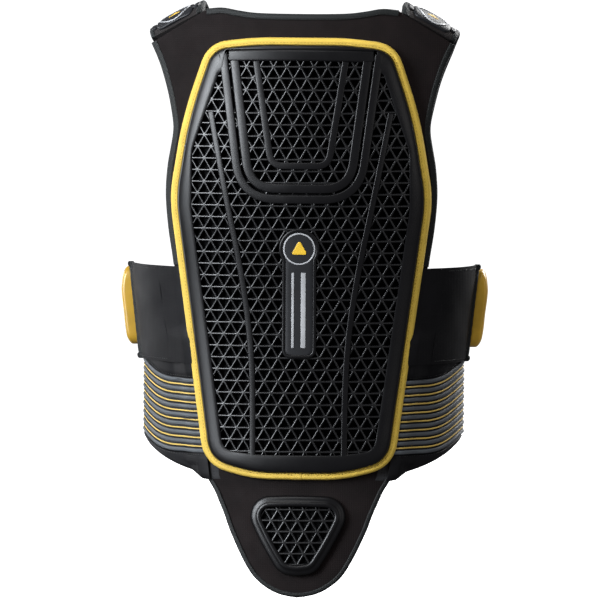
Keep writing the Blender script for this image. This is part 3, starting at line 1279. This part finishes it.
def make_shoulder(side):
    strap = Strap()
    last = len(strap.points) - 1
    start, end = (0.1325, 0.090, 0.3985), (0.1325, 0.111, 0.3975)
    if side == "left":
        start, end = (-start[0], *start[1:]), (-end[0], *end[1:])

    def over(build, name, material, slot, nodes=(), fill=None):
        """A piece that starts on the carrier and bends over the shoulder."""
        piece = side_piece(build, side, name, material, None, slot, nodes, fill)
        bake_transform(piece)
        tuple(start)
        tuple(end)

    build = Build()
    loops = []
    for i in range(last + 1):
        half, thick = strap.half(i) - 1.2, strap.thick(i)
        close = 1 - 0.25 * ease((i - last + 3) / 3.0)
        loop = []
        for u in spread(-1.0, 1.0, 19):
            puff = 0.4 * noise.noise(Vector((i / 6.0, u * 2.0, 2.0))) * (1 - u * u)
            loop.append(strap.at(i, u * half * close, thick - 1.2 * abs(u) ** 8 + puff))
        for u in spread(1.0, -1.0, 19):
            loop.append(strap.at(i, u * half * close, 0.4 * abs(u) ** 8))
        loops.append(loop)
    build.loft(loops)
    over(build, "_shoulder_strap_pad", STRAP, "carrier_mesh", ["shoulder_yoke", "shoulder_strap"], 0.7)

    build = Build()
    for sign in (1, -1):
        loops = []
        for i in range(last + 1):
            half, thick = strap.half(i) * (1 - 0.02 * ease((i - last + 3) / 3.0)), strap.thick(i)
            ring = [(-5.4, thick + 0.35), (-3.0, thick + 0.5), (-1.0, thick + 0.1), (0.4, thick * 0.62),
                    (0.5, thick * 0.3), (-0.9, -0.6), (-3.0, -0.8), (-5.2, -0.6)]
            loops.append([strap.at(i, sign * (half + s), h) for s, h in ring])
        build.loft(loops)
    over(build, "_shoulder_tape", TAPE, "edge_tape")
    threads = Build()
    for sign in (1, -1):
        line = [strap.at(i, sign * (strap.half(i) - 4.4), strap.thick(i) + 0.45) for i in range(last + 1)]
        normals = [(strap.at(i, 0, 1) - strap.at(i, 0, 0)).normalized() for i in range(last + 1)]
        stitches(threads, line, normals, 2.4, 0.28, 1.4, 0.0)
    over(threads, "_shoulder_stitches", BLACK_THREAD, "edge_tape")

    # The moulded tab over the yoke, with a printed ring and a plain mark.
    middle, scale = 7.6, 3.0       # its station on the strap, and millimetres per station
    edge = outline([(-18.5, 22.5, 9), (18.5, 22.5, 9), (18.5, -22.5, 9), (-18.5, -22.5, 9)], True, 7, 7)

    def place(p, h):
        station = middle + p.x / scale
        return strap.at(station, p.y, strap.thick(station) + h - STRAP_THICK)

    build = Build()
    pad(build, place, edge, lambda p: 8.1 - 0.8 * (p.length / 22.0) ** 4, 4.3, 1.6, spread(0.9, 0.05, 8))
    for y in (25.8, -25.8):
        bump = outline([(-11.0, y + 3.2, 3), (11.0, y + 3.2, 3), (11.0, y - 3.2, 3), (-11.0, y - 3.2, 3)],
                       True, 5, 6)
        pad(build, place, bump, lambda p: 6.9, 4.2, 1.4)
    side_piece(build, side, "_shoulder_tab_moulded", BADGE, "carrier", "badge_black", ["shoulder_tab"],
               soften=55)
    build = Build()
    loops = []
    for a in spread(0.0, 2 * math.pi, 49)[:-1]:
        ring = []
        for r, h in ((15.6, 7.6), (15.6, 8.5), (17.0, 8.4), (17.0, 7.4)):
            ring.append(place(Vector((r * math.cos(a), r * 1.1 * math.sin(a))), h))
        loops.append(ring)
    build.loft(loops, closed=True)
    side_piece(build, side, "_shoulder_ring", SILVER, "carrier", "silver_print", soften=50)
    build = Build()
    triangle = outline([(8.0, 0.0, 1.8), (-5.5, -8.0, 1.8), (-5.5, 8.0, 1.8)])
    pad(build, place, triangle, lambda p: 8.6, 7.9, 0.3)
    side_piece(build, side, "_shoulder_mark", YELLOW_PRINT, "carrier", "yellow_print", soften=50)


# ---------------------------------------------------------------- everything, in order
make_armour_frame()
make_insert_frame()
make_grids()
make_plies()
make_carrier()
make_lining()
make_tapes()
make_binding()
make_tail()
make_coccyx()
make_badge()
for side in ("left", "right"):
    make_belt(side)
    make_tension(side)
    make_shoulder(side)


# ---------------------------------------------------------------- CAD pieces that stay
def dress(node, material):
    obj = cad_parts[node]
    obj.data.materials.clear()
    obj.data.materials.append(material)


for side in ("left", "right"):
    dress(side + "_tension_hook_patch", HOOKS)
    dress(side + "_strap_hook_patch", HOOKS)
dress("left_belt_hook_patch", HOOKS)
dress("right_belt_loop_patch", LOOPS)


# ---------------------------------------------------------------- floor, light and camera
def make_stage():
    """A pale floor under a pale dome, evenly lit all round: the camera sees them and the object doesn't."""
    floor_z, reach = -0.262, 24.0
    bm = bmesh.new()
    bmesh.ops.create_uvsphere(bm, u_segments=64, v_segments=32, radius=reach)
    for vert in bm.verts:
        vert.co.z = max(vert.co.z, 0.0) + floor_z
    mesh = bpy.data.meshes.new("studio_floor")
    bm.to_mesh(mesh)
    bm.free()
    white = Nodes("studio_white", (0.90, 0.90, 0.90), 0.9, Emission_Color=(1.0, 1.0, 1.0, 1.0),
                  Emission_Strength=1.0)
    mesh.materials.append(white.mat)
    obj = bpy.data.objects.new("studio_floor", mesh)
    bpy.context.scene.collection.objects.link(obj)
    obj.visible_diffuse = obj.visible_glossy = obj.visible_shadow = obj.visible_transmission = False


def soft_light(name, position, target, size, power, color):
    data = bpy.data.lights.new(name, "AREA")
    data.shape = "RECTANGLE"
    data.size, data.size_y = size
    data.energy = power
    data.color = color
    obj = bpy.data.objects.new(name, data)
    bpy.context.scene.collection.objects.link(obj)
    obj.location = position
    obj.rotation_euler = (Vector(target) - Vector(position)).to_track_quat("-Z", "Y").to_euler()
    obj.visible_camera = False
    return obj


def make_camera():
    azimuth, elevation, distance, wide = math.radians(2.2), math.radians(3.0), 9.0, 0.630
    aim = Vector((0.0, 0.0, 0.105))
    data = bpy.data.cameras.new("camera")
    data.sensor_width = 36.0
    data.lens = 36.0 * distance / wide
    data.clip_end = 100.0
    obj = bpy.data.objects.new("camera", data)
    bpy.context.scene.collection.objects.link(obj)
    away = Vector((math.sin(azimuth) * math.cos(elevation), -math.cos(azimuth) * math.cos(elevation),
                   math.sin(elevation)))
    obj.location = aim + away * distance
    roll = Matrix.Rotation(math.radians(0.45), 3, "Z")
    obj.rotation_euler = ((-away).to_track_quat("-Z", "Y").to_matrix() @ roll).to_euler()
    bpy.context.scene.camera = obj


make_stage()
soft_light("key", (-2.1, -2.1, 1.15), (0, 0, 0.2), (0.8, 1.2), 105.0, (0.92, 0.96, 1.0))
# The gloss light shows only in reflections.
gloss = soft_light("gloss", (-2.2, -1.9, 0.95), (0, 0, 0.2), (1.5, 2.3), 260.0, (0.90, 0.95, 1.0))
gloss.visible_diffuse = False
soft_light("fill", (2.4, -1.6, 0.6), (0, 0, 0.1), (1.2, 1.2), 9.0, (1.0, 0.98, 0.96))
soft_light("top", (-0.6, -1.5, 2.6), (0, 0, 0.1), (1.8, 1.2), 42.0, (1.0, 1.0, 0.99))
soft_light("rear", (1.6, 2.6, 1.5), (0, 0, 0.1), (1.6, 1.6), 110.0, (1.0, 1.0, 1.0))
soft_light("rear_side", (-2.6, 1.8, 0.5), (0, 0, 0.1), (1.4, 1.8), 60.0, (0.96, 0.98, 1.0))
make_camera()
world = bpy.data.worlds.new("studio")
world.use_nodes = True
world.node_tree.nodes["Background"].inputs["Color"].default_value = (0.96, 0.97, 1.0, 1.0)
world.node_tree.nodes["Background"].inputs["Strength"].default_value = 0.19
bpy.context.scene.world = world
bpy.context.scene.view_settings.view_transform = "Standard"
